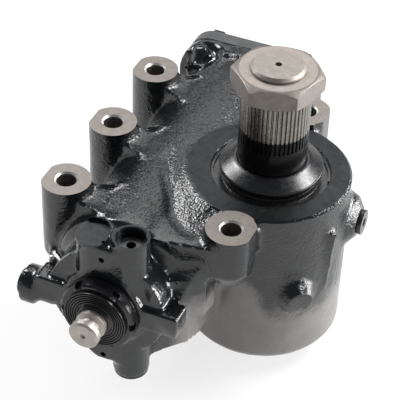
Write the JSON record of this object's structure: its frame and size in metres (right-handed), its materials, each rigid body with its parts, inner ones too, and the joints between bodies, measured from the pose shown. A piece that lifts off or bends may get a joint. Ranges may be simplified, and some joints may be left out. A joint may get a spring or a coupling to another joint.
{
  "type": "steering gear",
  "caption": "Power steering gear: a cast housing with a cylinder and rack piston on a ball worm turns a splined drop-arm shaft; rotary valve input, tapped mounting bosses.",
  "frame": {"origin": "centre of the rectangle of the frame-bolt holes, in the plane of the machined boss faces", "axes": "+Z out of the boss faces, along the sector shaft to its spline; +Y along the cylinder, away from the input shaft; +X from the cylinder to the sector shaft"},
  "size_m": [0.2685, 0.4175, 0.3064],
  "materials": {
    "painted_casting": "semi-gloss black paint over a sand-cast iron surface",
    "cover_paint": "thin dull grey-black paint",
    "painted_fasteners": "black paint over steel",
    "ring_nut_paint": "thin black coating over turned steel",
    "forged_steel": "ground and shot-cleaned alloy steel, lightly oiled",
    "turned_steel": "turned, dark oiled steel",
    "plain_steel": "plain machined steel",
    "nut_steel": "satin bare steel",
    "shaft_steel": "turned bare steel",
    "spring_steel": "dark oiled spring steel",
    "bearing_steel": "ground bearing steel",
    "seal_rubber": "matt nitrile rubber",
    "cap_rubber": "satin moulded rubber",
    "cover_plastic": "moulded black plastic with a slight gloss",
    "ring_plastic": "filled fluoropolymer sealing ring"
  },
  "bodies": {
    "housing": {"gear_housing": "painted_casting", "cylinder_cover": "cover_paint", "cylinder_cover_seal": "seal_rubber", "cylinder_cover_bolts": "painted_fasteners", "sector_cover": "turned_steel", "retaining_ring": "spring_steel", "sector_seal": "seal_rubber", "upper_bearing": "bearing_steel", "lower_bearing": "bearing_steel", "adjusting_screw": "turned_steel", "lock_nut": "painted_fasteners", "ring_nut": "ring_nut_paint", "input_bearing": "bearing_steel", "input_seal": "seal_rubber", "dust_cap": "cap_rubber", "thrust_bearings": "bearing_steel", "port_insert": "plain_steel", "relief_cap": "painted_fasteners", "side_plug": "painted_fasteners", "chamber_plug": "painted_fasteners"},
    "sector": {"sector_shaft": "forged_steel", "pitman_nut": "nut_steel", "dust_cover": "cover_plastic"},
    "piston": {"rack_piston": "forged_steel", "piston_ring": "ring_plastic", "end_plug": "plain_steel", "return_tube": "plain_steel", "tube_clamp": "plain_steel", "clamp_screws": "plain_steel", "balls": "bearing_steel"},
    "worm": {"worm": "turned_steel", "worm_rings": "ring_plastic", "worm_pin": "bearing_steel"},
    "input": {"input_shaft": "shaft_steel", "torsion_bar": "spring_steel", "input_pin": "bearing_steel"}
  },
  "joints": [
    {"name": "worm_turn", "type": "hinge", "parent": "housing", "child": "worm", "pos_m": [-0.01, 0, -0.07], "axis": [0, 1, 0], "range_deg": [-748, 748]},
    {"name": "sector_turn", "type": "hinge", "parent": "housing", "child": "sector", "pos_m": [0.08, 0, 0], "axis": [0, 0, 1], "range_deg": [-44.1, 44.1]},
    {"name": "piston_slide", "type": "slide", "parent": "housing", "child": "piston", "axis": [0, 1, 0], "range_m": [-0.037, 0.037]},
    {"name": "valve_twist", "type": "hinge", "parent": "worm", "child": "input", "pos_m": [-0.01, 0, -0.07], "axis": [0, 1, 0], "range_deg": [-4, 4], "stiffness_Nm_per_rad": 120}
  ],
  "couplings": [
    {"joint": "sector_turn", "follows": "worm_turn", "ratio": 0.058824},
    {"joint": "piston_slide", "follows": "worm_turn", "m_per_rad": -0.0028235}
  ]
}
